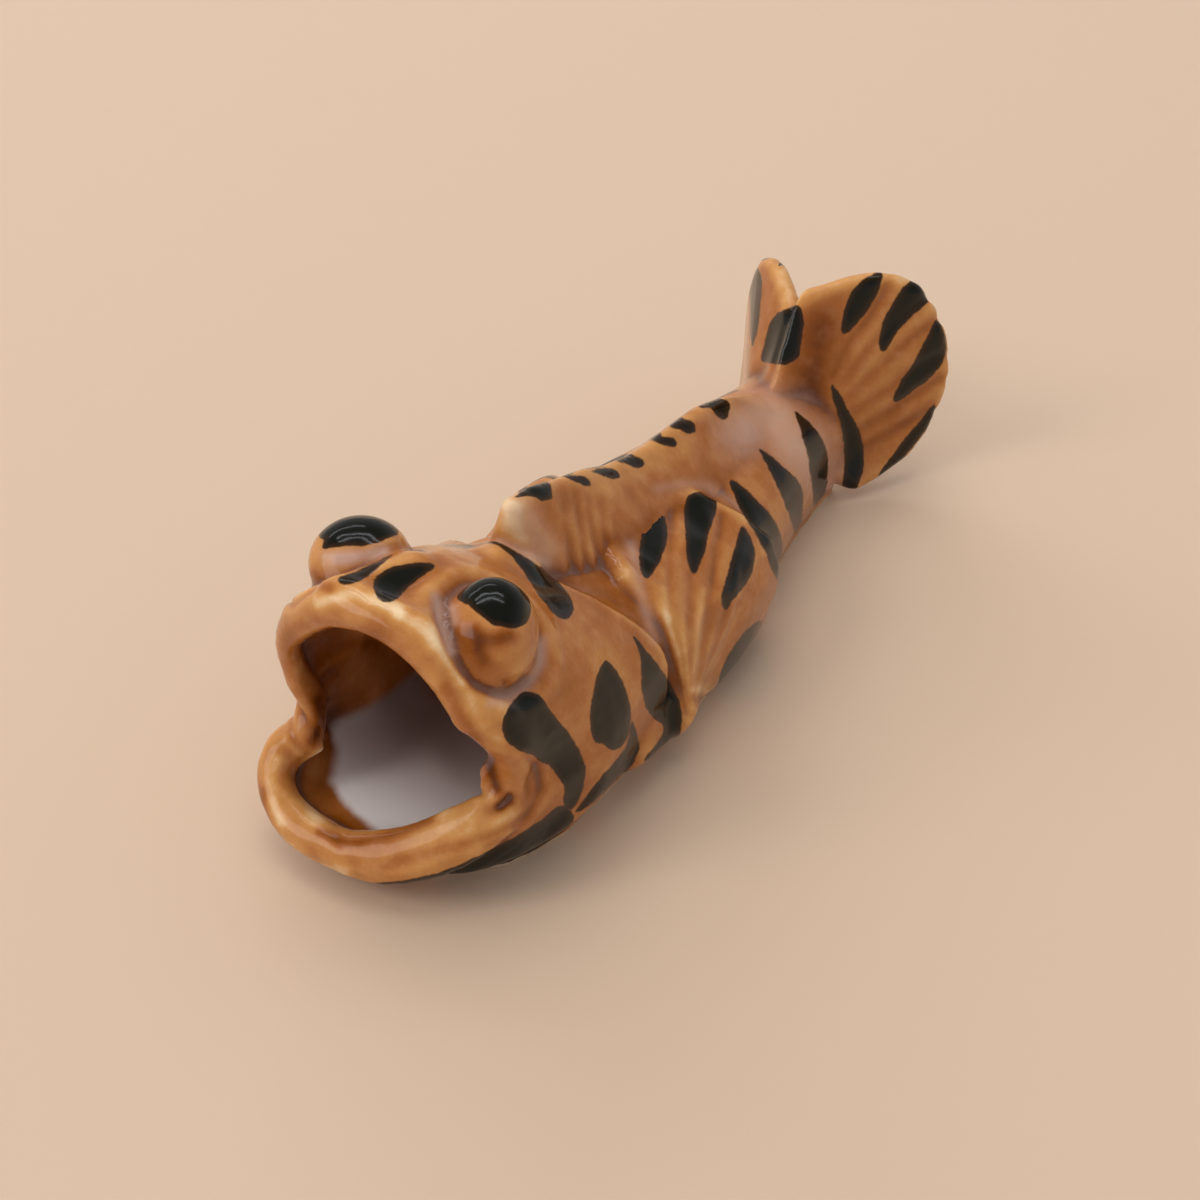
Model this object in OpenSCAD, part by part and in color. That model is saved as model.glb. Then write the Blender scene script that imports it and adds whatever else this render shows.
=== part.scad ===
// Chopstick rest in the shape of a gaping goby, in glazed stoneware. The head and body are hollow.
// The mouth faces -Y, the tail +Y, and the bare clay foot stands on the plane Z = 0. The fish's
// left side is +X. It is shaped by hand, so its far side, -X, isn't quite a mirror of the near one.

/* [Body] */
// Length of the fish from the lower lip to the tips of the tail
length = 82; // [72:1:92]
// Width across the cheeks, where the head is widest
head_width = 26; // [23:1:29]
// Height of the head above the table
head_height = 30; // [27:1:33]
// Thickness of the clay wall
wall = 2.4; // [2:0.1:3]
// Step where the gill covers stand proud of the body
gill_step = 0.9; // [0.5:0.1:1.2]
// Thickness of the bare clay foot
foot_thickness = 1.2; // [0.8:0.1:1.6]

/* [Face] */
// Thickness of the rolled lip
lip_thickness = 3.8; // [3.2:0.1:4.4]
// Diameter of an eyeball
eye_diameter = 8.2; // [7:0.2:9.4]
// Distance between the centres of the eyeballs
eye_spacing = 13.4; // [12:0.2:15]
// Depth of an eyeball's centre under the skin
eye_depth = 0.6; // [0.2:0.1:1.2]

/* [Fins] */
// Thickness of the dorsal fin along its crest
dorsal_thickness = 2.2; // [1.6:0.1:3]
// Height of the dorsal fin's first spine above the back
dorsal_height = 6.8; // [5:0.1:8]
// Length of a pectoral fin from its root to its edge
pectoral_length = 19; // [15:0.5:20]
// Height of a pectoral fin above the flank that it lies on
pectoral_thickness = 1.3; // [0.8:0.1:2]
// Height of the tail fin above the table
tail_height = 23.5; // [20:0.5:26]
// Width that the two lobes of the tail fin would have if both were as wide as the near one
tail_width = 25; // [20:1:28]
// Thickness of a tail lobe at its edge
tail_thickness = 2; // [1.4:0.1:2.8]

/* [Hidden] */
glaze = "peru";
bare_clay = "antiquewhite";
near = 1;
far = -1;

// Points round a ring of the skin, rings along each shell, steps round the lip, and the facets
// of the balls that hull() blends
around = 56;
head_rings = 12;
body_rings = 14;
lip_steps = 48;
ball_facets = 10;

// Stations of the skin from the mouth to the end of the tail stalk. Places along the fish are
// shares of its length from the middle, heights are shares of the head's height, and half widths
// and the jaw's lean to the far side are shares of half the head's width. The pinch draws the
// corners of the mouth in by its share, over the pinch's angle. A bow of 1 is an ellipse, less is fuller, more is flatter.
//   y top, y side, y bottom, z top, z side, z bottom, half width, pinch, lean, bow up, bow down
skin_shares = [
    [-0.427, -0.395, -0.476,  0.980,  0.387,  0.127,  1.000, 0.25, -0.19, 1.00, 0.74],
    [-0.390, -0.371, -0.459,  0.963,  0.393,  0.060,  1.015, 0.16, -0.18, 1.00, 0.72],
    [-0.335, -0.323, -0.409,  0.940,  0.400,  0.013,  1.015, 0.06, -0.10, 1.08, 0.68],
    [-0.287, -0.268, -0.329,  0.867,  0.407, -0.027,  1.008, 0.00, -0.02, 1.15, 0.65],
    [-0.254, -0.207, -0.226,  0.800,  0.407, -0.047,  0.977, 0.00,  0.00, 1.20, 0.65],
    [-0.229, -0.152, -0.116,  0.747,  0.393, -0.053,  0.946, 0.00,  0.00, 1.20, 0.65],
    [-0.138, -0.073, -0.049,  0.647,  0.367, -0.053,  0.923, 0.00,  0.00, 1.20, 0.65],
    [-0.038,  0.012,  0.024,  0.580,  0.340, -0.050,  0.892, 0.00,  0.00, 1.20, 0.65],
    [ 0.062,  0.085,  0.098,  0.533,  0.313, -0.047,  0.815, 0.00,  0.00, 1.20, 0.65],
    [ 0.150,  0.162,  0.162,  0.500,  0.287, -0.043,  0.692, 0.00,  0.00, 1.10, 0.65],
    [ 0.238,  0.244,  0.238,  0.467,  0.260, -0.040,  0.569, 0.00,  0.00, 1.00, 0.65],
    [ 0.312,  0.312,  0.312,  0.430,  0.233, -0.040,  0.500, 0.00,  0.00, 1.00, 0.65],
    [ 0.376,  0.376,  0.376,  0.393,  0.220, -0.040,  0.469, 0.00,  0.00, 1.00, 0.65],
];
stations = len(skin_shares) - 1;
// Shares along the skin: where the foot starts, the gill covers end, the body has risen from
// under them to its full size, and the hollow ends
foot_start_share = 1.55 / stations;
gill_share = 5 / stations;
settled_share = 6.5 / stations;
hollow_share = 9 / stations;
pinch_angle = 16;
// How far the lip stands ahead of the shell's rim, as a share of the lip's thickness
lip_forward_share = 0.25;

// Distance of each eye behind the lip, as a share of half of their two thicknesses together,
// and its angle round the head
near_eye_share = 0.76;
near_eye_angle = 58;
far_eye_share = 0.96;
far_eye_angle = 62;

// Stations of the dorsal fin: y as a share of the length, height above the back as a share of
// the first spine's height, and the angle round the back where its foot lies
crest_shares = [
    [-0.236, 0.36, 82], [-0.217, 0.90, 78], [-0.180, 0.98, 70], [-0.134, 0.94, 64], [-0.085, 0.87, 60],
    [-0.043, 0.72, 58], [0.006, 0.62, 58], [0.049, 0.60, 58], [0.104, 0.61, 58], [0.152, 0.61, 60],
    [0.201, 0.47, 62], [0.244, 0.29, 66], [0.280, 0.10, 72],
];

// Root of a pectoral fin: y as a share of the length, and z as a share of the head's height
pectoral_root_shares = [-0.116, 0.060];
// Rays of a pectoral fin: the angle above the table, and the reach as a share of the fin's length
pectoral_ray_shares = [
    [-8, 0.45], [2, 0.78], [14, 0.92], [26, 0.98], [38, 1.00], [50, 1.00], [62, 0.97], [74, 0.93],
    [85, 0.89], [95, 0.84],
];
pectoral_rays = 14;
pectoral_steps = 6;
// The far fin is smaller than the near one by this share, and turned down by this angle
far_pectoral_share = 0.90;
far_pectoral_turn = 32;

// Edge of a tail lobe from the notch round to its underside, its root, and the ridge where the
// lobes meet: x as a share of half the tail's width, y of the length, and z of the tail's height
tail_edge_shares = [
    [0.00, 0.382, 0.83], [0.18, 0.400, 0.91], [0.45, 0.434, 0.95], [0.69, 0.463, 0.89], [0.86, 0.483, 0.69],
    [0.91, 0.488, 0.49], [0.88, 0.478, 0.32], [0.78, 0.444, 0.15], [0.58, 0.380, 0.07],
];
tail_root_shares = [0.18, 0.335, 0.26];
tail_ridge_shares = [0.00, 0.321, 0.44];
tail_rays = 16;
tail_steps = 4;
// Thickness at the ridge and at the root as shares of the edge's thickness
ridge_thickness_share = 1.8;
root_thickness_share = 1.5;
// Size of the far lobe as shares of the near one's, along each axis
far_lobe_shares = [0.83, 0.96, 0.885];

// Value of a table of rows at the share t of its length, smoothed between the rows
function row_at(table, t) =
    let (n = len(table) - 1, s = min(max(t, 0), 1) * n, i = min(floor(s), n - 1), f = s - i,
        a = table[max(i - 1, 0)], b = table[i], c = table[i + 1], d = table[min(i + 2, n)])
    b + (c - a) * f / 2 + (a - 5 * b / 2 + 2 * c - d / 2) * pow(f, 2)
        + (3 * b - a - 3 * c + d) * pow(f, 3) / 2;
function power(v, p) = sign(v) * pow(abs(v), p);

// Point of the skin at the share t along it and the angle phi round it, set in by some depth
function skin(t, phi, inset = 0) =
    let (row = row_at(skin_shares, t), s = sin(phi), c = cos(phi), upper = s > 0,
        bow = upper ? row[9] : row[10],
        drawn_in = 1 - row[7] * exp(-pow(asin(s) / pinch_angle, 2)),
        half = (row[6] * head_width / 2 - inset) * drawn_in,
        lean = row[8] * head_width / 2 * max(-s, 0),
        place = upper ? row[1] + (row[0] - row[1]) * s * s : row[1] - (row[2] - row[1]) * s,
        rise = upper ? (row[3] - row[4]) * head_height - inset : (row[4] - row[5]) * head_height,
        z = row[4] * head_height + rise * power(s, bow))
    [half * power(c, bow) + lean, place * length, max(z, foot_thickness + inset)];
function ring(t, inset = 0) = [for (k = [0:around - 1]) skin(t, 360 * k / around, inset)];

// Depth of the body's skin under the gill covers' edge, from which it rises behind them
function body_inset(t) = gill_step * max(0, (settled_share - t) / (settled_share - gill_share));

// Share along the skin that has the place y, at the angle phi round it
function share_at(y, phi, t = 0.5, tries = 12) =
    tries == 0 ? t
    : share_at(y, phi, min(max(t + (y - skin(t, phi)[1]) / length, 0), 1), tries - 1);
// Angle round the near side that has the height z, at the share t
function angle_at(z, t) =
    let (row = row_at(skin_shares, t), side_z = row[4] * head_height,
        rise = (z > side_z ? row[3] - row[4] : row[4] - row[5]) * head_height,
        bow = z > side_z ? row[9] : row[10])
    asin(power(min(max((z - side_z) / rise, -1), 1), 1 / bow));
// Point of the near flank that has the place y and the height z
function on_flank(y, z, t = 0.5, tries = 8) =
    tries == 0 ? skin(t, angle_at(z, t)) : on_flank(y, z, share_at(y, angle_at(z, t), t, 3), tries - 1);

head_shares = [for (i = [0:head_rings]) gill_share * i / head_rings];
body_shares = [for (i = [0:body_rings]) gill_share + (1 - gill_share) * i / body_rings];
hollow_shares = [for (i = [body_rings:-1:0]) gill_share + (hollow_share - gill_share) * i / body_rings];

function sum_of(points, k = 0) = k == len(points) - 1 ? points[k] : points[k] + sum_of(points, k + 1);
function middle(points) = sum_of(points) / len(points);

// Solid through rings of points, capped at both ends or joined round on itself
module loft(rings, joined = false) {
    n = len(rings[0]);
    m = len(rings);
    sides = [for (i = [0:joined ? m - 1 : m - 2], k = [0:n - 1])
        let (j = (i + 1) % m, l = (k + 1) % n, a = i * n + k, b = i * n + l, c = j * n + k, d = j * n + l)
        each [[a, b, d], [a, d, c]]];
    caps = joined ? [] : [for (k = [0:n - 1]) let (l = (k + 1) % n, last = (m - 1) * n)
        each [[m * n, l, k], [m * n + 1, last + k, last + l]]];
    ends = joined ? [] : [middle(rings[0]), middle(rings[m - 1])];
    polyhedron(points = concat([for (r = rings) each r], ends), faces = concat(sides, caps));
}

// Full forms of the head and of the body, which the pieces laid on them are cut to
module head_form() { loft([for (t = head_shares) ring(t)]); }
module body_form() { loft([for (t = body_shares) ring(t, body_inset(t))]); }

module ball(centre, size) { translate(centre) sphere(d = size, $fn = ball_facets); }

// Space under the foot's top, which the fins stay out of
module below_foot() {
    translate([-head_width, -length, foot_thickness - head_height])
        cube([2 * head_width, 2 * length, head_height]);
}

// Mirrors what is made for the near side over to the far side
module on_side(side) { scale([side, 1, 1]) children(); }

// Rolled coil of clay round the mouth, ahead of the shell's rim
function lip_point(k) = skin(0, 360 * k / lip_steps, wall / 2) - [0, lip_forward_share * lip_thickness, 0];
module lip_coil() {
    color(glaze) for (k = [0:lip_steps - 1]) hull() {
        ball(lip_point(k), lip_thickness);
        ball(lip_point(k + 1), lip_thickness);
    }
}

// Head with its gill covers, open at the mouth and at the gills
module head_shell() {
    inner = [for (i = [head_rings:-1:0])
        ring(gill_share * i / head_rings, wall + gill_step * i / head_rings)];
    color(glaze) difference() {
        loft(concat([for (t = head_shares) ring(t)], inner), joined = true);
        lip_coil();
    }
}

// Body and tail stalk, hollow as far as the stalk and open towards the head
module body_shell() {
    color(glaze) loft(concat(
        [for (t = hollow_shares) ring(t, wall + body_inset(t))],
        [for (t = body_shares) ring(t, body_inset(t))]));
}

// Flat foot under the head and body, left bare of glaze
module foot_plate() {
    shares = [for (i = [0:body_rings]) foot_start_share + (1 - foot_start_share) * i / body_rings];
    near_edge = [for (t = shares) skin(t, angle_at(foot_thickness, t))];
    far_edge = [for (t = shares) skin(t, 180 - angle_at(foot_thickness, t))];
    color(bare_clay) linear_extrude(foot_thickness) polygon([
        for (p = near_edge) [p[0], p[1]],
        for (i = [body_rings:-1:0]) [far_edge[i][0], far_edge[i][1]]]);
}

module eyeball(side) {
    angle = side == near ? near_eye_angle : far_eye_angle;
    share = side == near ? near_eye_share : far_eye_share;
    place = lip_point(lip_steps * angle / 360)[1] + share * (lip_thickness + eye_diameter) / 2;
    seat = skin(share_at(place, angle), angle, eye_depth);
    color(glaze) difference() {
        translate([side * eye_spacing / 2, seat[1], seat[2]]) sphere(d = eye_diameter);
        head_form();
    }
}

// Ridge of a fin along the back, tall at its first spine
module dorsal_station(row) {
    place = row[0] * length;
    back = skin(share_at(place, 90), 90);
    foot = skin(share_at(place, row[2]), row[2], dorsal_thickness / 2);
    ball(back + [0, 0, row[1] * dorsal_height - dorsal_thickness / 2], dorsal_thickness);
    for (side = [near, far]) ball([side * foot[0], foot[1], foot[2]], dorsal_thickness);
}
module dorsal_form() {
    for (i = [1:len(crest_shares) - 1]) hull() {
        dorsal_station(crest_shares[i - 1]);
        dorsal_station(crest_shares[i]);
    }
}
module dorsal_fin() {
    color(glaze) difference() {
        dorsal_form();
        head_form();
        body_form();
    }
}

// Fan of a fin lying on the flank, over the step behind the gill cover
function pectoral_point(ray, k, size, turn) =
    let (reach = ray[1] * size * k / pectoral_steps)
    on_flank(pectoral_root_shares[0] * length + reach * cos(ray[0] - turn),
        max(pectoral_root_shares[1] * head_height + reach * sin(ray[0] - turn), foot_thickness));
module pectoral_fin(side) {
    size = pectoral_length * (side == near ? 1 : far_pectoral_share);
    turn = side == near ? 0 : far_pectoral_turn;
    color(glaze) on_side(side) difference() {
        for (i = [1:pectoral_rays], k = [1:pectoral_steps])
            hull() for (j = [i - 1, i], step = [k - 1, k]) {
                ray = row_at(pectoral_ray_shares, j / pectoral_rays);
                ball(pectoral_point(ray, step, size, turn), 2 * pectoral_thickness);
            }
        head_form();
        body_form();
        dorsal_form();
        below_foot();
    }
}

// Upright lobe of the tail fin, swept back from the ridge where the two lobes meet
function tail_point(shares, size) =
    [shares[0] * size[0] * tail_width / 2,
        (tail_ridge_shares[1] + (shares[1] - tail_ridge_shares[1]) * size[1]) * length,
        shares[2] * size[2] * tail_height];
module tail_lobe(side) {
    size = side == near ? [1, 1, 1] : far_lobe_shares;
    color(glaze) on_side(side) difference() {
        for (i = [1:tail_rays], k = [1:tail_steps])
            hull() for (ray = [i - 1, i], step = [k - 1, k]) {
                off_ridge = min(ray * (len(tail_edge_shares) - 1) / tail_rays, 1);
                root = tail_point(tail_ridge_shares + off_ridge * (tail_root_shares - tail_ridge_shares), size);
                edge = tail_point(row_at(tail_edge_shares, ray / tail_rays), size);
                thin = root_thickness_share + (1 - root_thickness_share) * step / tail_steps;
                thick = ridge_thickness_share + off_ridge * (thin - ridge_thickness_share);
                ball(root + (edge - root) * step / tail_steps, tail_thickness * thick);
            }
        body_form();
        below_foot();
        translate([-tail_width, 0, 0]) cube([tail_width, length, 2 * tail_height]);
    }
}

head_shell();
lip_coil();
body_shell();
foot_plate();
eyeball(near);  // eyeball_left
eyeball(far);  // eyeball_right
dorsal_fin();
pectoral_fin(near);  // pectoral_fin_left
pectoral_fin(far);  // pectoral_fin_right
tail_lobe(near);  // tail_lobe_left
tail_lobe(far);  // tail_lobe_right
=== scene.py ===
import math

import bpy
import numpy as np
from mathutils import Matrix, Vector
from mathutils.bvhtree import BVHTree
from mathutils.kdtree import KDTree


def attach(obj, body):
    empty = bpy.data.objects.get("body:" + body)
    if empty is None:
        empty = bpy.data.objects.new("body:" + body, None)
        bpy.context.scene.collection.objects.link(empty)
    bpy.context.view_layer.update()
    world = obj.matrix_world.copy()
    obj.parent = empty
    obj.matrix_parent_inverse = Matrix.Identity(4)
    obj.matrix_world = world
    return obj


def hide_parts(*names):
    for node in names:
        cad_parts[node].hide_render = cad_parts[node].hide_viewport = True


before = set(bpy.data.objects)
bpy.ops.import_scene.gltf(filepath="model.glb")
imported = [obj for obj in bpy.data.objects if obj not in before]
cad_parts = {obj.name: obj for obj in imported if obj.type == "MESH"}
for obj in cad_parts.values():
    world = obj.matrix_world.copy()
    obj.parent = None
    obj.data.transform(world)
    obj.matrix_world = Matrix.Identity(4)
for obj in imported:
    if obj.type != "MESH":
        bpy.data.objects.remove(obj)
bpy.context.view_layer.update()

mm = 0.001  # everything is shaped in millimetres and scaled at the end


# the camera, fitted to the photograph
cameraSet = {
    "lookAt": (5.72, -13.3, 16.6),  # mm, middle of the picture
    "azimuth": 33.0,  # degrees
    "elevation": 40.0,
    "distance": 224.0,  # mm
    "lens": 78.0,  # mm
    "sensor": 36.0,
    "pixels": 1200,  # across the photograph
    "clip": (0.01, 10.0),  # m
}


def pictureAxes(setup):  # the eye in mm, and the directions right, up and back toward the camera
    a, e = math.radians(setup["azimuth"]), math.radians(setup["elevation"])
    back = np.array([math.sin(a) * math.cos(e), -math.cos(a) * math.cos(e), math.sin(e)])
    right = np.array([math.cos(a), math.sin(a), 0])
    return np.array(setup["lookAt"]) + back * setup["distance"], right, np.cross(back, right), back


def makeCamera(setup):
    eye, right, up, back = pictureAxes(setup)
    lens = bpy.data.cameras.new("camera")
    lens.lens, lens.sensor_width = setup["lens"], setup["sensor"]
    lens.clip_start, lens.clip_end = setup["clip"]
    camera = bpy.data.objects.new("camera", lens)
    bpy.context.scene.collection.objects.link(camera)
    camera.location = Vector(eye) * mm
    camera.rotation_mode = "QUATERNION"
    camera.rotation_quaternion = Vector(-back).to_track_quat("-Z", "Y")
    bpy.context.scene.camera = camera


makeCamera(cameraSet)
print("camera set")


def inPicture(points):  # the pixels of the photograph that points in mm fall on
    eye, right, up, back = pictureAxes(cameraSet)
    away, middle = points - eye, cameraSet["pixels"] / 2
    scale = cameraSet["lens"] / cameraSet["sensor"] * cameraSet["pixels"] / -(away @ back)
    return np.stack([middle + away @ right * scale, middle - away @ up * scale], 1)


def turnedTo(points, normals):  # 1 where the surface faces the camera, -1 where it faces away
    toEye = pictureAxes(cameraSet)[0] - points
    return np.sum(normals * toEye, 1) / np.linalg.norm(toEye, axis=1)


# the clay: all solids of the frame fused into one worked surface
claySet = {
    "grain": 0.3,  # mm between the points of the worked surface
    "pushes": [0.5, -0.53],  # in and out again, so nothing shrinks
    "evenRounds": 40,  # passes that take the facets off
    "ownerRounds": 3,  # passes that leave no point alone in another piece
    "fillRounds": 30,  # passes that round the joins
    "fill": 0.8,  # share of a hollow that one pass fills
    "fillSkin": 1.0,
    "fillRest": 0.5,
    "fadeRounds": 12,  # passes that fade a choice of points out at its border
    "lastRounds": 4,
    "lineRounds": 2,  # passes that take the sharpness off the tool lines
}
pieceNames = sorted(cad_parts)


def nodeArrays(name):
    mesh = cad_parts[name].data
    points = np.zeros(len(mesh.vertices) * 3)
    mesh.vertices.foreach_get("co", points)
    mesh.calc_loop_triangles()
    faces = np.zeros(len(mesh.loop_triangles) * 3, dtype=np.int32)
    mesh.loop_triangles.foreach_get("vertices", faces)
    return points.reshape(-1, 3) / mm, faces.reshape(-1, 3)


def joinAll(names):
    points, faces, owners, start = [], [], [], 0
    for index, name in enumerate(names):
        p, f = nodeArrays(name)
        points.append(p)
        faces.append(f + start)
        owners.append(np.full(len(f), index))
        start += len(p)
    return np.concatenate(points), np.concatenate(faces), np.concatenate(owners)


def treeOf(points, faces):
    return BVHTree.FromPolygons([tuple(p) for p in points], [tuple(f) for f in faces])


def meshOf(name, points, faces):
    mesh = bpy.data.meshes.new(name)
    mesh.vertices.add(len(points))
    mesh.vertices.foreach_set("co", np.asarray(points, dtype=np.float32).ravel())
    mesh.loops.add(faces.size)
    mesh.loops.foreach_set("vertex_index", faces.astype(np.int32).ravel())
    mesh.polygons.add(len(faces))
    mesh.polygons.foreach_set("loop_start", np.arange(0, faces.size, faces.shape[1], dtype=np.int32))
    mesh.update(calc_edges=True)
    return mesh


def fuse(points, faces, grain):
    lump = bpy.data.objects.new("lump", meshOf("lump", points, faces))
    bpy.context.scene.collection.objects.link(lump)
    remesh = lump.modifiers.new("fuse", "REMESH")
    remesh.mode, remesh.voxel_size, remesh.adaptivity = "VOXEL", grain, 0
    graph = bpy.context.evaluated_depsgraph_get()
    mesh = bpy.data.meshes.new_from_object(lump.evaluated_get(graph))
    bpy.data.objects.remove(lump)
    places = np.zeros(len(mesh.vertices) * 3)
    mesh.vertices.foreach_get("co", places)
    edges = np.zeros(len(mesh.edges) * 2, dtype=np.int32)
    mesh.edges.foreach_get("vertices", edges)
    corners = np.zeros(len(mesh.loops), dtype=np.int32)
    mesh.loops.foreach_get("vertex_index", corners)
    bpy.data.meshes.remove(mesh)
    clay = {"points": places.reshape(-1, 3), "edges": edges.reshape(-1, 2), "quads": corners.reshape(-1, 4)}
    clay["count"] = len(clay["points"])
    clay["degree"] = np.bincount(edges, minlength=clay["count"])[:, None]
    return clay


def nearMean(clay, values):  # the mean of each point's neighbours
    a, b = clay["edges"].T
    sums = [np.bincount(a, v[b], clay["count"]) + np.bincount(b, v[a], clay["count"]) for v in values.T]
    return np.stack(sums, 1) / clay["degree"]


def normalsOf(clay):
    p, q = clay["points"], clay["quads"]
    face = np.cross(p[q[:, 2]] - p[q[:, 0]], p[q[:, 3]] - p[q[:, 1]])
    total = np.zeros_like(p)
    for corner in q.T:
        total += np.stack([np.bincount(corner, v, clay["count"]) for v in face.T], 1)
    return total / np.maximum(np.linalg.norm(total, axis=1, keepdims=True), 1e-9)


def evenOut(clay, rounds):
    for push in claySet["pushes"] * rounds:
        clay["points"] += push * (nearMean(clay, clay["points"]) - clay["points"])


def fillJoins(clay, rounds, weight):  # rounds the inner corners where two pieces meet
    for _ in range(rounds):
        hollow = np.sum((nearMean(clay, clay["points"]) - clay["points"]) * normalsOf(clay), 1)
        clay["points"] += normalsOf(clay) * (np.maximum(hollow, 0) * claySet["fill"] * weight)[:, None]


def blur(clay, values, rounds):
    for _ in range(rounds):
        values = nearMean(clay, values)
    return values


def faded(which):  # 1 on the chosen points and 0 on the others, with a soft border
    return blur(clay, which[:, None] * 1.0, claySet["fadeRounds"])


def roundOff(which, rounds, full=False):  # takes the corners off the chosen points
    weight = np.clip(2 * faded(which) - 1, 0, 1)
    before = clay["points"].copy()
    for _ in range(rounds):
        clay["points"] += weight * (nearMean(clay, clay["points"]) - clay["points"])
    if full:  # gives back the fullness that smoothing takes from large forms
        clay["points"] += weight * blur(clay, before - clay["points"], rounds)


cadPoints, cadFaces, cadOwners = joinAll(pieceNames)
cadTree = treeOf(cadPoints, cadFaces)
clay = fuse(cadPoints, cadFaces, claySet["grain"])
print("clay fused:", clay["count"], "points")
evenOut(clay, claySet["evenRounds"])
nearest = [cadOwners[cadTree.find_nearest(Vector(p))[2]] for p in clay["points"]]
shares = blur(clay, np.eye(len(pieceNames))[nearest], claySet["ownerRounds"])
clay["owner"] = shares.argmax(1)


def on(names):  # which points belong to these pieces
    return np.isin(clay["owner"], [pieceNames.index(n) for n in names])


skin = ["head_shell", "lip_coil"]
fins = ["pectoral_fin_left", "pectoral_fin_right"]
lobes = ["tail_lobe_left", "tail_lobe_right"]


# modelling tools
def smoothLine(line, closed, parts=4):  # a curve through the points
    p = np.array(line, dtype=float)
    row = np.vstack([p[-1:], p, p[:2]]) if closed else np.vstack([p[:1], p, p[-1:]])
    curve = []
    for i in range(1, len(row) - 2):
        a, b, c, d = row[i - 1:i + 3]
        for t in np.arange(parts) / parts:
            bend = (2 * a - 5 * b + 4 * c - d) * t * t + (3 * b - a - 3 * c + d) * t ** 3
            curve.append(b + ((c - a) * t + bend) / 2)
    return np.array(curve if closed else curve + [p[-1]])


def toLine(places, line, closed=False):  # distance to a line and the share of it passed there
    a, b = (line, np.roll(line, -1, 0)) if closed else (line[:-1], line[1:])
    best, share = np.full(len(places), 1e9), np.zeros(len(places))
    for i in range(len(a)):
        side = b[i] - a[i]
        t = np.clip((places - a[i]) @ side / max(side @ side, 1e-9), 0, 1)
        gap = np.linalg.norm(places - a[i] - t[:, None] * side, axis=1)
        share = np.where(gap < best, (i + t) / len(a), share)
        best = np.minimum(best, gap)
    return best, share


def insideOf(places, outline):  # counts the crossings to the right of each place
    odd = np.zeros(len(places), dtype=bool)
    for a, b in zip(outline, np.roll(outline, -1, 0)):
        crosses = (a[1] > places[:, 1]) != (b[1] > places[:, 1])
        slope = (b[0] - a[0]) / (b[1] - a[1]) if b[1] != a[1] else 0
        odd ^= crosses & (places[:, 0] < a[0] + (places[:, 1] - a[1]) * slope)
    return odd


viewSet = {
    "visible": -0.1,  # least turn to the camera of a point that a tool can grip
    "slack": 3,  # pixels between points that count as the same place
    "normalRounds": 4, "backRounds": 25,  # passes that even out where the surface faces
    "cell": 14, "cellRow": 1000,  # pixels, and the cells kept for one row
    "room": 4.0,  # mm behind the nearest clay that still counts as in view
    "finFacing": 0.1,  # least turn of the far fin that the brush reached
}


def visibleNow():
    return turnedTo(clay["points"], normalsOf(clay)) > viewSet["visible"]


def seenAt(spot, places, visible):  # the point of the clay that the photograph shows at a pixel
    off = np.where(visible, np.linalg.norm(places - spot, axis=1), np.inf)
    close = np.flatnonzero(off < off.min() + viewSet["slack"])
    eye, right, up, back = pictureAxes(cameraSet)
    return clay["points"][close[np.argmin((eye - clay["points"][close]) @ back)]]


def pull(radius, pairs, pieces=(), level=False):  # draws the clay from pixel to pixel
    eye, right, up, back = pictureAxes(cameraSet)
    places, visible = inPicture(clay["points"]), visibleNow()
    if pieces:
        visible &= on(pieces)
    grips, moves = [], []
    for start, end in pairs:
        grip = seenAt(np.array(start), places, visible)
        reach = (eye - grip) @ back * cameraSet["sensor"] / cameraSet["lens"] / cameraSet["pixels"]
        grips.append(grip)
        move = ((end[0] - start[0]) * right - (end[1] - start[1]) * up) * reach
        if level:  # the same step in the picture, made without leaving the table
            flat = np.linalg.solve(np.stack([right[:2], up[:2]]), [move @ right, move @ up])
            move = np.array([flat[0], flat[1], 0])
        moves.append(move)
    grips, moves = np.array(grips + grips[-1:]), np.array(moves + moves[-1:])
    gap, share = toLine(clay["points"], grips)
    step = share * (len(grips) - 1)
    way = np.stack([np.interp(step, np.arange(len(moves)), m) for m in moves.T], 1)
    clay["points"] += way * (np.clip(1 - (gap / radius) ** 2, 0, 1) ** 2)[:, None]


def soften(spot, radius, rounds):  # smooths the clay around a pixel
    grip = seenAt(np.array(spot), inPicture(clay["points"]), visibleNow())
    gap = np.linalg.norm(clay["points"] - grip, axis=1)
    weight = np.clip(1 - (gap / radius) ** 2, 0, 1)[:, None]
    for _ in range(rounds):
        clay["points"] += weight * (nearMean(clay, clay["points"]) - clay["points"])


mirrorAxis = np.array([-1, 1, 1])
pixel = 0.086  # mm that one pixel of the photograph spans on the fish
twins = {"eyeball_right": "eyeball_left", "tail_lobe_right": "tail_lobe_left"}  # far piece, near piece
# how the far fin lies beside the near one: y and z in mm, degrees lower, share of its size
farFin = {"root": (-9.6, 1.8), "turn": 32.0, "share": 0.9}


def boxOf(name):
    points, _ = nodeArrays(name)
    return points.min(0), points.max(0)


def finTwin(setup):  # the points of the near fin that match those of the far one
    root, turn = np.array(setup["root"]), math.radians(setup["turn"])
    off = (clay["points"][on(["pectoral_fin_right"])][:, 1:] - root) / setup["share"]
    flat = np.stack([off[:, 0] * math.cos(turn) - off[:, 1] * math.sin(turn),
                     off[:, 0] * math.sin(turn) + off[:, 1] * math.cos(turn)], 1) + root
    near = clay["points"][on(["pectoral_fin_left"])]
    tree = KDTree(len(near))
    for index, (x, y, z) in enumerate(near):
        tree.insert((0, y, z), index)
    tree.balance()
    return np.stack([near[[tree.find((0, y, z))[1] for y, z in flat], 0], flat[:, 0], flat[:, 1]], 1)


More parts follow.
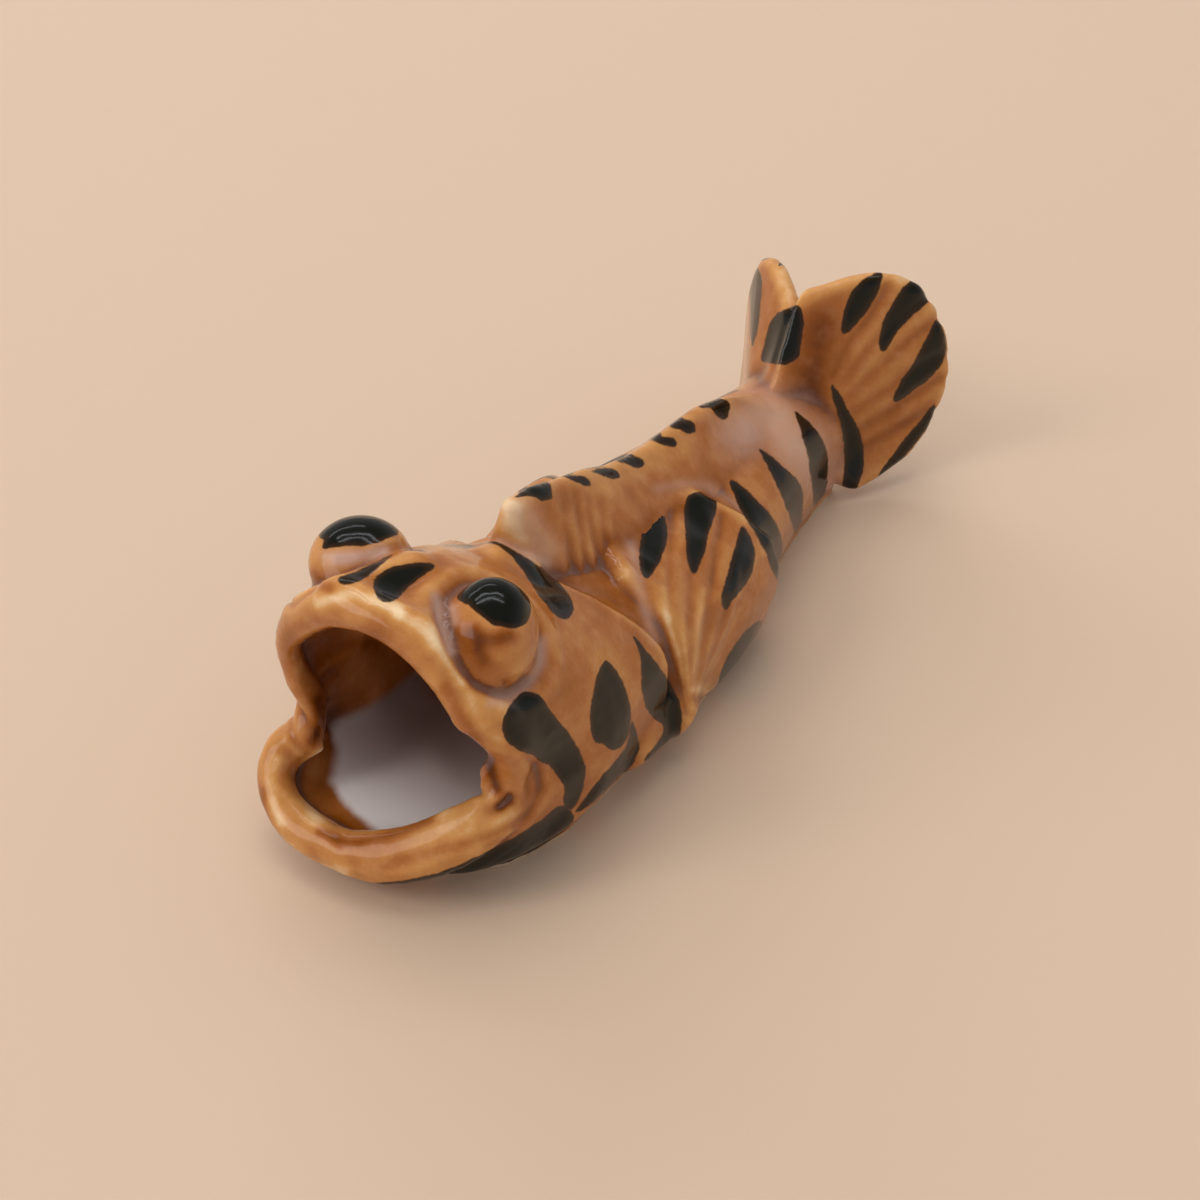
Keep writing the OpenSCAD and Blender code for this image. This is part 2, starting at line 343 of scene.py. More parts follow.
def openTo(eye, places):  # points with nothing well in front of them, by cells of the picture
    away = np.linalg.norm(clay["points"] - eye, axis=1)
    cells = np.floor(places / viewSet["cell"]).astype(int) @ (1, viewSet["cellRow"])
    nearest = np.full(cells.max() + 1, np.inf)
    np.minimum.at(nearest, cells, away)
    return away < nearest[cells] + viewSet["room"]


def photoView():  # each point's own pixel, and for the side that the photograph hides its mirrored twin's
    normals = blur(clay, normalsOf(clay), viewSet["normalRounds"])
    places, facing = inPicture(clay["points"]), turnedTo(clay["points"], normals)
    shown = (facing > 0) & openTo(pictureAxes(cameraSet)[0], places)
    own = {"places": places.copy(), "facing": facing.copy()}
    own["shown"] = np.clip(2 * faded(shown)[:, 0], 0, 1)
    twin = clay["points"] * mirrorAxis
    for far, near in twins.items():
        a, b = boxOf(far), boxOf(near)
        low, high = np.minimum(*a * mirrorAxis), np.maximum(*a * mirrorAxis)
        share = (twin[on([far])] - low) / (high - low)
        twin[on([far])] = b[0] + share * (b[1] - b[0])
    twin[on(["pectoral_fin_right"])] = finTwin(farFin)
    atBack = blur(clay, normals, viewSet["backRounds"])[:, 1] > 0
    hidden = (clay["points"][:, 0] < 0) & (~on(lobes) | atBack)
    places[hidden] = inPicture(twin)[hidden]
    facing[hidden] = turnedTo(twin, normals * mirrorAxis)[hidden]
    closed = on(["pectoral_fin_right"]) & (facing < viewSet["finFacing"])
    facing[closed] = -2  # out of the reach of every mark
    return own, {"places": places, "facing": facing}


# the brush marks: pieces, least turn to the camera, whether the far side gets its twin, and the outline
# drawn in pixels of the photograph
brushMarks = {
    "farCap": (["eyeball_right"], -0.05, False, [
        (322, 549), (326, 535), (336, 524), (350, 517), (365, 515), (379, 519), (388, 526), (392, 536),
        (380, 542), (365, 546), (350, 546), (339, 547)]),
    "nearCap": (["eyeball_left"], -0.05, False, [
        (462, 589), (466, 584), (475, 579), (488, 578), (502, 580), (515, 588), (524, 599), (528, 611),
        (526, 620), (511, 620), (502, 623), (495, 626), (486, 620), (476, 612), (468, 604), (463, 596)]),
    "browFar": (skin, -0.1, False, [
        (338, 580), (340, 576), (352, 573), (370, 564), (390, 555), (392, 556), (380, 566), (370, 575),
        (358, 582), (348, 585), (340, 584)]),
    "browMid": (skin, -0.2, False, [
        (373, 588), (375, 579), (382, 572), (392, 567), (410, 563), (431, 563), (434, 568), (422, 577),
        (410, 586), (402, 594), (394, 601), (384, 602), (376, 596)]),
    "nape": (["head_shell"], -0.4, True, [
        (468, 539), (482, 538), (499, 542), (512, 549), (530, 560), (548, 572), (564, 588), (572, 601),
        (573, 612), (566, 620), (554, 614), (542, 600), (531, 584), (520, 568), (509, 554), (496, 545),
        (481, 540)]),
    "cheek": (skin, -0.2, True, [
        (518, 695), (526, 691), (540, 695), (549, 708), (560, 722), (572, 738), (582, 755), (586, 772),
        (582, 792), (572, 810), (563, 802), (564, 788), (556, 774), (548, 765), (540, 762), (532, 755),
        (518, 750), (506, 741), (502, 728), (504, 716), (510, 705)]),
    "jaw": (skin + ["foot_plate"], -0.2, False, [
        (562, 805), (535, 824), (515, 836), (490, 850), (465, 862), (440, 872), (415, 878), (390, 882),
        (365, 883), (345, 882), (332, 880), (340, 885), (365, 892), (390, 893), (415, 891), (440, 889),
        (465, 884), (490, 875), (515, 862), (540, 848), (573, 822)]),
    "cheekLeaf": (["head_shell"], -0.2, True, [
        (605, 661), (611, 664), (619, 675), (626, 690), (631, 710), (630, 730), (624, 744), (615, 750),
        (610, 749), (602, 744), (594, 741), (590, 725), (591, 705), (594, 688), (599, 670)]),
    "lowGill": (["head_shell"], -0.3, True, [
        (576, 810), (588, 794), (600, 778), (615, 761), (625, 748), (629, 735), (632, 721), (637, 732),
        (639, 748), (633, 764), (619, 779), (600, 796), (585, 809), (578, 812)]),
    "gill": (["head_shell", "body_shell", "pectoral_fin_left"], -0.3, True, [
        (633, 636), (640, 642), (651, 656), (662, 670), (672, 686), (680, 702), (682, 720), (679, 738),
        (669, 750), (655, 757), (644, 761), (646, 756), (652, 749), (658, 741), (663, 731), (662, 724),
        (656, 720), (651, 715), (646, 708), (642, 692), (641, 675), (640, 658), (637, 645)]),
    "crest1": (["dorsal_fin"], -0.5, True, [
        (512, 500), (518, 491), (526, 485), (540, 482), (550, 483), (552, 491), (552, 499), (542, 501),
        (536, 498), (526, 496), (518, 498)]),
    "crest2": (["dorsal_fin"], -0.5, True, [
        (565, 477), (572, 475), (584, 476), (590, 480), (591, 486), (585, 486), (576, 482)]),
    "crest3": (["dorsal_fin"], -0.5, True, [
        (590, 471), (600, 468), (611, 468), (618, 472), (619, 478), (611, 479), (600, 475)]),
    "crest4": (["dorsal_fin"], -0.5, True, [
        (615, 460), (625, 455), (636, 456), (643, 460), (644, 466), (636, 468), (625, 464)]),
    "crest5": (["dorsal_fin"], -0.5, True, [
        (650, 440), (660, 436), (671, 437), (676, 441), (676, 446), (668, 446), (658, 443)]),
    "crest6": (["dorsal_fin"], -0.5, True, [
        (672, 428), (679, 421), (689, 420), (695, 425), (696, 432), (689, 434), (680, 430)]),
    "crest7": (["dorsal_fin"], -0.5, True, [
        (701, 408), (706, 400), (718, 398), (728, 401), (730, 410), (726, 419), (719, 418), (712, 410),
        (706, 408)]),
    "pec1": (fins, -1, True, [
        (654, 507), (662, 511), (667, 525), (667, 540), (663, 555), (656, 569), (648, 578), (642, 575),
        (639, 560), (640, 542), (643, 525), (648, 512)]),
    "pec2": (fins, -1, True, [
        (690, 494), (702, 491), (714, 496), (717, 505), (714, 520), (709, 532), (706, 548), (701, 562),
        (695, 574), (690, 570), (686, 552), (685, 532), (684, 512), (686, 500)]),
    "pec3": (fins, -1, True, [
        (742, 525), (750, 536), (755, 550), (754, 565), (749, 580), (740, 592), (732, 602), (726, 610),
        (722, 605), (722, 592), (726, 578), (731, 560), (736, 542)]),
    "pec4": (fins, -1, True, [
        (760, 620), (761, 630), (756, 645), (748, 660), (738, 675), (728, 686), (720, 693), (718, 685),
        (721, 670), (728, 655), (738, 640), (748, 628)]),
    "flank1": (["body_shell", "pectoral_fin_left"], -0.3, True, [
        (729, 480), (740, 484), (752, 495), (765, 508), (775, 521), (782, 540), (782, 560), (778, 580),
        (772, 570), (765, 552), (756, 535), (745, 518), (735, 498)]),
    "flank2": (["body_shell", "pectoral_fin_left"], -0.3, True, [
        (759, 449), (770, 455), (785, 468), (798, 480), (803, 495), (802, 520), (798, 541), (792, 525),
        (785, 505), (778, 488), (769, 470)]),
    "flank3": (["body_shell"] + lobes, -0.3, True, [
        (795, 411), (806, 419), (820, 435), (827, 452), (828, 475), (824, 500), (819, 520), (814, 505),
        (811, 482), (808, 458), (801, 432)]),
    "flank4": (["body_shell"] + lobes, -0.3, True, [
        (831, 384), (839, 392), (849, 411), (859, 430), (864, 450), (863, 472), (855, 492), (844, 504),
        (842, 490), (844, 465), (843, 440), (838, 415), (832, 398)]),
    "ray1": (lobes, -1, True, [
        (882, 272), (869, 276), (856, 286), (847, 301), (842, 320), (842, 334), (850, 331), (861, 319),
        (872, 304), (880, 288)]),
    "ray2": (lobes, -1, True, [
        (914, 280), (925, 286), (930, 299), (922, 308), (910, 318), (898, 332), (886, 350), (879, 348),
        (880, 332), (886, 315), (895, 299), (905, 285)]),
    "ray3": (lobes, -1, True, [
        (936, 320), (944, 330), (946, 350), (941, 365), (928, 380), (912, 392), (898, 402), (893, 398),
        (900, 382), (910, 368), (920, 350), (929, 332)]),
    "tailEdge": (lobes, -1, True, [
        (934, 404), (936, 411), (928, 428), (912, 448), (898, 466), (881, 479), (878, 475), (890, 458),
        (905, 438), (922, 418)]),
    "ridge": (lobes, -0.2, False, [
        (800, 306), (788, 308), (775, 315), (768, 328), (764, 345), (761, 360), (774, 364), (788, 364),
        (798, 358), (802, 340), (804, 320)]),
    "farLobe": (["tail_lobe_right"], -0.5, False, [
        (751, 265), (758, 268), (762, 280), (761, 300), (759, 320), (756, 338), (752, 346), (750, 330),
        (750, 308), (749, 282)]),
}


# modelling the face and fins: radius in mm, and the pixels that the clay is drawn from and to
pulls = {
    "mouthEdge": (5.2, [
        ((352, 630), (346, 627)), ((335, 648), (312, 649)), ((338, 682), (316, 684)),
        ((347, 728), (330, 722)), ((343, 742), (331, 738)), ((318, 765), (312, 770))]),
    "lowerLip": (5.6, [
        ((350, 838), (348, 832)), ((398, 850), (400, 824)), ((440, 852), (444, 808)),
        ((465, 845), (474, 796)), ((480, 815), (489, 788))]),
    "upperLip": (4.6, [
        ((482, 745), (475, 752)), ((477, 725), (459, 728)), ((452, 695), (441, 699)),
        ((420, 668), (415, 668))]),
    "notch": (3.0, [((304, 711), (309, 722))]),
    "farEye": (7.5, [((330, 560), (322, 559))]),
    "farLip": (6.0, [((283, 640), (277, 640))]),
    "farLidEdge": (3.4, [
        ((341, 583), (335, 575)), ((372, 575), (366, 562)), ((400, 564), (398, 550))], skin),
    "dorsalFoot": (3.4, [((503, 557), (505, 543)), ((528, 569), (531, 556))], ["dorsal_fin"]),
    "nearEyeTop": (4.5, [((495, 586), (495, 578))]),
    "nearEyeSide": (4.0, [((541, 640), (533, 640))]),
    "chin": (6.0, [((442, 893), (442, 885)), ((475, 882), (475, 873))]),
    "jawFoot": (4.5, [
        ((507, 858), (504, 850)), ((530, 848), (527, 840)), ((556, 832), (552, 824)),
        ((577, 811), (574, 804))], (), True),
    "gillFoot": (4.0, [
        ((648, 746), (653, 757)), ((664, 731), (669, 744)), ((684, 718), (688, 727))], (), True),
    "farFin": (5.0, [
        ((486, 512), (498, 532)), ((510, 488), (520, 506)), ((548, 478), (556, 492))],
        ["pectoral_fin_right"]),
    "farShoulder": (5.0, [((479, 530), (485, 545)), ((490, 522), (496, 540))], ["body_shell"]),
    "farFlank": (5.5, [
        ((585, 464), (592, 477)), ((612, 454), (618, 466)), ((660, 425), (665, 436)),
        ((694, 405), (699, 415))], ["body_shell"]),
}
softSpots = {  # pixel, radius in mm, passes
    "mouthCorner": ((505, 772), 5.0, 110),
    "cornerEdge": ((486, 768), 3.6, 70),
    "jawEnd": ((515, 826), 3.2, 40),
    "notch": ((318, 724), 3.8, 90),
}
roundSet = {"body": 60, "throat": 170, "bodyAgain": 20}  # passes
# lines pressed with a tool: pieces, half width, depth at the start and at the end in mm, pixels of the line
toolLines = {
    "cheekFold": (skin, 0.5, 0.1, 0.3, [(516, 742), (526, 752), (537, 769), (541, 790)]),
    "jawFold": (skin, 0.5, 0.3, 0.12, [
        (541, 790), (529, 815), (505, 831), (470, 843), (425, 856), (385, 868)]),
    "outerFold": (skin, 0.6, 0.06, 0.15, [(553, 768), (560, 790), (550, 812), (525, 832), (490, 846)]),
    "cornerPit": (skin, 0.6, 0.8, 0.25, [(511, 801), (500, 807), (490, 810)]),
    "chinFold": (skin, 0.4, 0.15, 0.1, [(395, 862), (412, 856), (430, 851)]),
    "finEdge": (fins, 0.5, 0.1, 0.35, [(640, 560), (645, 585), (660, 625), (675, 672), (687, 712)]),
    "finTop": (["body_shell"], 0.5, 0.15, 0.3, [
        (634, 512), (645, 496), (660, 489), (680, 485), (700, 484), (720, 490), (738, 506), (753, 530),
        (768, 560)]),
    "nearLid": (skin + ["eyeball_left"], 0.45, 0.15, 0.35, [
        (438, 600), (441, 620), (448, 645), (458, 666), (473, 684), (492, 693), (512, 691), (528, 680)]),
    "ray1": (fins, 0.5, 0.18, 0.3, [(671, 515), (671, 580), (675, 620), (682, 660), (690, 702)]),
    "ray2": (fins, 0.5, 0.12, 0.28, [(691, 575), (691, 620), (692, 660), (694, 698)]),
    "ray3": (fins, 0.5, 0.18, 0.3, [(722, 515), (714, 575), (707, 625), (701, 665), (697, 698)]),
    "ray4": (fins, 0.5, 0.12, 0.28, [(727, 610), (717, 645), (705, 685), (699, 700)]),
    "ray5": (fins, 0.5, 0.18, 0.3, [(762, 560), (747, 595), (732, 632), (715, 670), (702, 698)]),
    "spine1": (["dorsal_fin"], 0.5, 0.1, 0.25, [(561, 490), (566, 522), (571, 550), (575, 572)]),
    "spine2": (["dorsal_fin"], 0.4, 0.1, 0.22, [(575, 494), (580, 525), (585, 552), (590, 578)]),
    "spine3": (["dorsal_fin"], 0.4, 0.08, 0.2, [(588, 498), (592, 525), (598, 552), (604, 580)]),
    "spine4": (["dorsal_fin"], 0.4, 0.06, 0.2, [(600, 500), (604, 527), (608, 552), (613, 580)]),
    "spine5": (["dorsal_fin"], 0.4, 0.03, 0.15, [(615, 515), (616, 540), (619, 565), (623, 590)]),
    "tail1": (lobes, 0.6, 0.12, 0.28, [(835, 375), (850, 345), (868, 320), (890, 283)]),
    "tail2": (lobes, 0.6, 0.12, 0.28, [(845, 382), (870, 350), (895, 325), (928, 300)]),
    "tail3": (lobes, 0.6, 0.12, 0.28, [(853, 395), (885, 365), (912, 340), (942, 318)]),
    "tail4": (lobes, 0.6, 0.12, 0.28, [(858, 410), (890, 390), (915, 370), (945, 355)]),
    "tail5": (lobes, 0.6, 0.12, 0.28, [(860, 430), (890, 412), (915, 395), (940, 380)]),
    "tail6": (lobes, 0.6, 0.12, 0.28, [(860, 450), (885, 437), (910, 422), (932, 410)]),
}
lineFacing = {"lobes": -1, "others": -0.3}  # least turn to the camera
# the groove round each eyeball and the rim outside it, in mm
socketSet = {"radius": 4.1, "off": 0.5, "depth": 0.32, "halfWidth": 0.95, "rimOff": 2.4, "rim": 0.2}
# the inside wall, with the edge of its white glaze, in mm
innerSet = {
    "axisHeight": 11.0, "end": 24.0,
    "level": 6.6, "deepest": -20.0, "slope": 0.3,  # the white stays below this height, and rises deeper in; past 'deepest' it gives way to amber, as painted shade of the throat
    "ceiling": -0.6,  # least upward turn of a wall that the white runs on
    "lipRoom": 0.9, "farRoom": 2.2, "farReach": 8.0,  # amber left behind the lip, and more on the far side
    # where the throat's white starts to grey, and over how many mm, as painted shade
    "shadeStart": -37.0, "shadeLength": 14.0,
}
farOff = 3.0  # mm past which the edge of a glaze no longer counts


def nearTo(curve, places, room=30):  # a quick choice of the points worth measuring, in pixels
    return np.all((places > curve.min(0) - room) & (places < curve.max(0) + room), axis=1)


def pressLines(lines, view):
    depth, outer = np.zeros(clay["count"]), ~innerSkin(innerSet, normalsOf(clay))
    for nodes, halfWidth, first, last, line in lines.values():
        curve = smoothLine(line, False)
        limit = lineFacing["lobes" if nodes is lobes else "others"]
        near = on(nodes) & outer & (view["facing"] > limit) & nearTo(curve, view["places"])
        gap, share = toLine(view["places"][near], curve)
        groove = np.exp(-((gap * pixel / halfWidth) ** 2)) * (first + (last - first) * share)
        depth[near] = np.maximum(depth[near], groove)
    clay["points"] -= normalsOf(clay) * depth[:, None]


def ballOf(node):
    low, high = boxOf(node)
    return np.array([(low[0] + high[0]) / 2, (low[1] + high[1]) / 2, high[2] - socketSet["radius"]])


def pressSocket(node, setup):
    off = np.linalg.norm(clay["points"] - ballOf(node), axis=1) - setup["radius"]
    depth = setup["depth"] * np.exp(-(((off - setup["off"]) / setup["halfWidth"]) ** 2))
    depth -= setup["rim"] * np.exp(-(((off - setup["rimOff"]) / setup["halfWidth"]) ** 2))
    clay["points"] -= normalsOf(clay) * (depth[:, None] * faded(on(skin)))


def innerSkin(setup, facings):  # the inside wall, seen through the mouth
    axis = clay["points"] * [0, 1, 0] + [0, 0, setup["axisHeight"]]
    toward = np.sum(facings * (axis - clay["points"]), 1) > 0
    return on(["head_shell", "body_shell"]) & toward & (clay["points"][:, 1] < setup["end"])


fillJoins(clay, claySet["fillRounds"], np.where(on(skin), claySet["fillSkin"], claySet["fillRest"]))
roundOff(on(["body_shell"]), roundSet["body"], True)
roundOff(innerSkin(innerSet, normalsOf(clay)), roundSet["throat"])
for eye in ["eyeball_left", "eyeball_right"]:
    pressSocket(eye, socketSet)
for settings in pulls.values():
    pull(*settings)
for settings in softSpots.values():
    soften(*settings)
roundOff(on(["body_shell"]), roundSet["bodyAgain"], True)
evenOut(clay, claySet["lastRounds"])
pressLines(toolLines, photoView()[1])
evenOut(clay, claySet["lineRounds"])
normals = normalsOf(clay)
ownView, pairedView = photoView()
print("face and fins modelled")


# where each glaze lies
pupils = {  # dabs of the brush on each eye: right, up and toward the camera, reach in degrees
    "eyeball_left": [((0.26, 0.74, 0.62), 37), ((-0.12, 0.95, 0.30), 36)],
    "eyeball_right": [((-0.22, 0.90, 0.38), 39), ((0.22, 0.92, 0.34), 36)],
}
# soft strokes seen in the photograph, of thinner and thicker glaze, and some of painted light and shade:
# amount, half width and line in pixels, less than 0 for thicker glaze and for painted shade
glazeAndPaintedLight = {
    # the upper lip stroke is a painted highlight on the top of the lip
    "upperLip": (0.28, 8, [(318, 603), (340, 596), (367, 597), (396, 610)]),
    "browRidge": (0.28, 7, [(400, 616), (425, 632), (448, 655), (462, 680)]),
    "lipSide": (0.2, 8, [(468, 700), (480, 725), (500, 740)]),
    "lowerLip": (0.3, 7, [(283, 848), (310, 866), (345, 872)]),
    "lowerCrest": (0.08, 8, [(395, 842), (430, 832), (462, 815)]),
    "lowerLeft": (0.22, 6, [(276, 760), (272, 790), (280, 822)]),
    # painted light on the shaded inner wall of the mouth
    "innerLeft": (0.3, 12, [(318, 762), (308, 790), (316, 815)]),
    "jowl": (0.05, 12, [(520, 790), (505, 822), (470, 838)]),
    "finRays": (0.16, 4, [(664, 590), (676, 640), (690, 690)]),
    "finRaysMid": (0.16, 4, [(703, 590), (698, 640), (695, 690)]),
    "finRaysBack": (0.16, 4, [(738, 610), (718, 655), (703, 692)]),
    # painted reflection on the front of the dorsal fin
    "dorsalFront": (0.36, 12, [(512, 512), (520, 536), (540, 556)]),
    "dorsalBack": (0.14, 12, [(600, 488), (640, 470), (680, 446)]),
    "shankTop": (0.16, 16, [(745, 420), (775, 415), (800, 440)]),
    "finFoot": (0.3, 8, [(703, 690), (716, 700)]),
    "leftLip": (-0.12, 8, [(292, 628), (285, 655), (292, 690)]),
    "notchStain": (-0.5, 7, [(318, 700), (322, 722), (312, 742)]),
    "leftJaw": (-0.3, 5, [(262, 790), (264, 815), (276, 842)]),
    "lowerEdge": (-0.35, 5, [(320, 832), (350, 842), (395, 834), (430, 820)]),
    "cornerStain": (-0.6, 6, [(489, 762), (494, 780), (498, 790)]),
    "pitStain": (-0.7, 5, [(508, 798), (500, 806)]),
    "underPupil": (-0.5, 9, [(474, 632), (488, 640), (508, 636)]),
    "eyeStain": (-0.3, 7, [(478, 648), (485, 660)]),
    "lidLine": (-0.7, 3, [(443, 603), (448, 630), (458, 660), (472, 681), (492, 691)]),
    # painted shade on the roof of the mouth
    "roof": (-0.3, 14, [(330, 668), (345, 645), (375, 636)]),
    "finRim": (0.16, 8, [(660, 502), (680, 496), (700, 492), (724, 500), (744, 518)]),
    "sideStain": (-0.25, 8, [(445, 690), (462, 718), (476, 745)]),
    # painted shade in the fold of the tail beside its ridge
    "tailFold": (-0.3, 22, [(822, 322), (815, 352), (812, 385)]),
    "farEyeFoot": (-0.25, 6, [(312, 575), (330, 590)]),
}
paintedSheens = {  # the same, for painted sheen: pale lilac reflections of the window and sky on the glaze
    "socketLeft": (0.7, 5, [(435, 596), (440, 622), (450, 652)]),
    "socketGlint": (0.5, 5, [(453, 608), (455, 622)]),
    "socketRight": (0.55, 6, [(492, 702), (520, 692), (540, 665), (542, 640)]),
    "farLid": (0.8, 6, [(338, 560), (360, 556), (384, 550)]),
    "farBall": (0.5, 8, [(328, 556), (350, 557)]),
    "firstSpine": (0.5, 15, [(520, 512), (532, 530), (545, 550)]),
    "spineFoot": (0.5, 5, [(500, 541), (522, 553), (548, 563)]),
    "finEdge": (0.45, 6, [(632, 545), (640, 590), (655, 640)]),
    "finTop": (0.3, 6, [(660, 488), (700, 484), (738, 506)]),
    "stalk": (0.8, 26, [(745, 430), (768, 415), (795, 440), (820, 470)]),
}


def paint(marks, inner):  # mm inside the nearest mark's edge, negative outside
    depth = np.full(clay["count"], -farOff)
    for nodes, facing, both, line in marks.values():
        outline, view = smoothLine(line, True), pairedView if both else ownView
        near = on(nodes) & ~inner & (view["facing"] > facing) & nearTo(outline, view["places"])
        gap = toLine(view["places"][near], outline, True)[0] * pixel
        signed = np.where(insideOf(view["places"][near], outline), gap, -gap)
        depth[near] = np.maximum(depth[near], signed)
    return depth


# soft strokes along lines in the picture, used for glaze washes, for painted light and shade, and for
# painted sheen
def washAndPaintedLight(lines):
    much = np.zeros(clay["count"])
    for amount, wide, line in lines.values():
        curve = smoothLine(line, False)
        near = (ownView["shown"] > 0) & nearTo(curve, ownView["places"], 3 * wide)
        gap, share = toLine(ownView["places"][near], curve)
        much[near] += amount * ownView["shown"][near] * np.exp(-((gap / wide) ** 2))
    return much


def paintPupils(depth):  # the same depth, with the eyes' dabs added
    eye, right, up, back = pictureAxes(cameraSet)
    for node, dabs in pupils.items():
        away = clay["points"] - ballOf(node)
        away /= np.linalg.norm(away, axis=1, keepdims=True)
        for (r, u, b), reach in dabs:
            aim = Vector(r * right + u * up + b * back).normalized()
            angle = np.degrees(np.arccos(np.clip(away @ np.array(aim), -1, 1)))
            signed = np.radians(reach - angle) * socketSet["radius"]
            depth = np.where(on([node]), np.maximum(depth, signed), depth)
    return depth


def whiteCover(setup, inner):  # mm inside the white glaze
    points, faces = nodeArrays("lip_coil")
    lip = treeOf(points, faces)
    which = np.flatnonzero(inner & (normals[:, 2] > setup["ceiling"]))
    p = clay["points"][which]
    room = np.array([lip.find_nearest(Vector(v))[3] for v in p])
    room -= setup["lipRoom"] + setup["farRoom"] * np.clip(-p[:, 0] / setup["farReach"], 0, 1)
    cover = np.full(clay["count"], -farOff)
    # past the depth where the white stops, amber takes over, as painted shade of the throat
    low = np.minimum(setup["level"] - p[:, 2], (setup["deepest"] - p[:, 1]) * setup["slope"])
    cover[which] = np.clip(np.minimum(low, room), -farOff, farOff)
    return cover


def standing(rounds):  # mm that each point stands above its surroundings
    return np.sum((clay["points"] - blur(clay, clay["points"], rounds)) * normals, 1)


footSet = {"height": 0.4, "finY": -6.5, "finReach": 4.0, "finRise": 1.7}  # mm
reliefRounds = {"crest": 10, "swell": 90}  # passes, for small and for broad forms


def glazeLine(setup):  # the glaze ends above the table, and higher at the root of the near fin
    root = np.exp(-(((clay["points"][:, 1] - setup["finY"]) / setup["finReach"]) ** 2))
    return setup["height"] + setup["finRise"] * root * (clay["points"][:, 0] > 0)


inner = innerSkin(innerSet, normals)
cover = {
    "brush": paintPupils(paint(brushMarks, inner)),
    "washAndPaintedLight": washAndPaintedLight(glazeAndPaintedLight),
    # painted sheen, laid along its strokes
    "paintedSheen": washAndPaintedLight(paintedSheens),
    "white": whiteCover(innerSet, inner),
    "crest": standing(reliefRounds["crest"]),
    "swell": standing(reliefRounds["swell"]),
    "foot": glazeLine(footSet) - clay["points"][:, 2],  # mm below the glaze line
    # painted shade of the throat's white, 0 at the lip and 1 far inside
    "throatShade": (clay["points"][:, 1] - innerSet["shadeStart"]) / innerSet["shadeLength"],
}
print("glaze laid")


# materials
def tone(code):  # an sRGB hex value as a linear colour
    parts = [int(code[i:i + 2], 16) / 255 for i in (1, 3, 5)]
    return tuple(c / 12.92 if c <= 0.04045 else ((c + 0.055) / 1.055) ** 2.4 for c in parts) + (1,)


def add(tree, kind, settings=None, values=None):  # one node, its settings, and its inputs set or linked
    node = tree.nodes.new("ShaderNode" + kind)
    for key, value in (settings or {}).items():
        setattr(node, key, value)
    for key, value in (values or {}).items():
        if isinstance(value, bpy.types.NodeSocket):
            tree.links.new(value, node.inputs[key])
        else:
            node.inputs[key].default_value = value
    return node


def newTree(name):
    material = bpy.data.materials.new(name)
    material.use_nodes = True
    material.node_tree.nodes.clear()
    return material, material.node_tree


glazeTones = {
    "amber": ["#5A2A08", "#8A4A10", "#AC6A34", "#CE9454", "#EECFA2"],  # thick to thin
    "amberStops": [0.0, 0.25, 0.5, 0.75, 1.0],
    # the groove tone here is painted shade with a lilac painted reflection, and the pale tone after it a
    # painted sheen
    "grooveShade": "#7C584A", "paintedSheen": "#C6A08C", "ink": "#101209", "inkThin": "#35210F",
    # the greyed white is painted shade of the throat
    "white": "#F4F0EE", "whiteInShade": "#8F7C76", "bare": "#CDB9A2", "bareDark": "#B59C80",
}
# the real sizes of the patterns, in mm
glazeSizes = {
    "cloud": 5.0, "patch": 1.6, "grain": 0.35, "whiteEdge": 4.0, "brushEdge": 0.9, "peel": 1.3,
    "footEdge": 3.0,
}
glazeRules = {
    "plain": 0.5, "crest": 1.4, "hollow": 0.6,  # place along the amber tones, and change per mm of relief
    "cloud": 0.5, "patch": 0.14, "grain": 0.1,  # how far the patterns swing it
    "grooveShadeFrom": (0.03, 0.16), "grooveShade": 0.75,  # mm below the surroundings, and most of it, for the painted shade and lilac painted reflection in grooves
    # how far the patterns swing the painted sheen
    "paintedSheen": 0.3,
    "white": (-0.5, 0.7), "whiteSwing": 1.0,  # mm over which one glaze gives way to another
    "inkEdge": (-0.08, 0.1), "inkThin": (0.0, 0.6), "inkSwing": 0.3,
    "bareEdge": (-0.1, 0.15), "bareSwing": 0.9,
    "rough": 0.13, "roughSwing": 0.08, "bareRough": 0.6,
    "peel": 0.6, "bump": 0.25, "bumpDepth": 0.12,  # mm
    "noiseRough": 0.55, "detail": 3.0, "fineDetail": 2.0, "ior": 1.38,
}
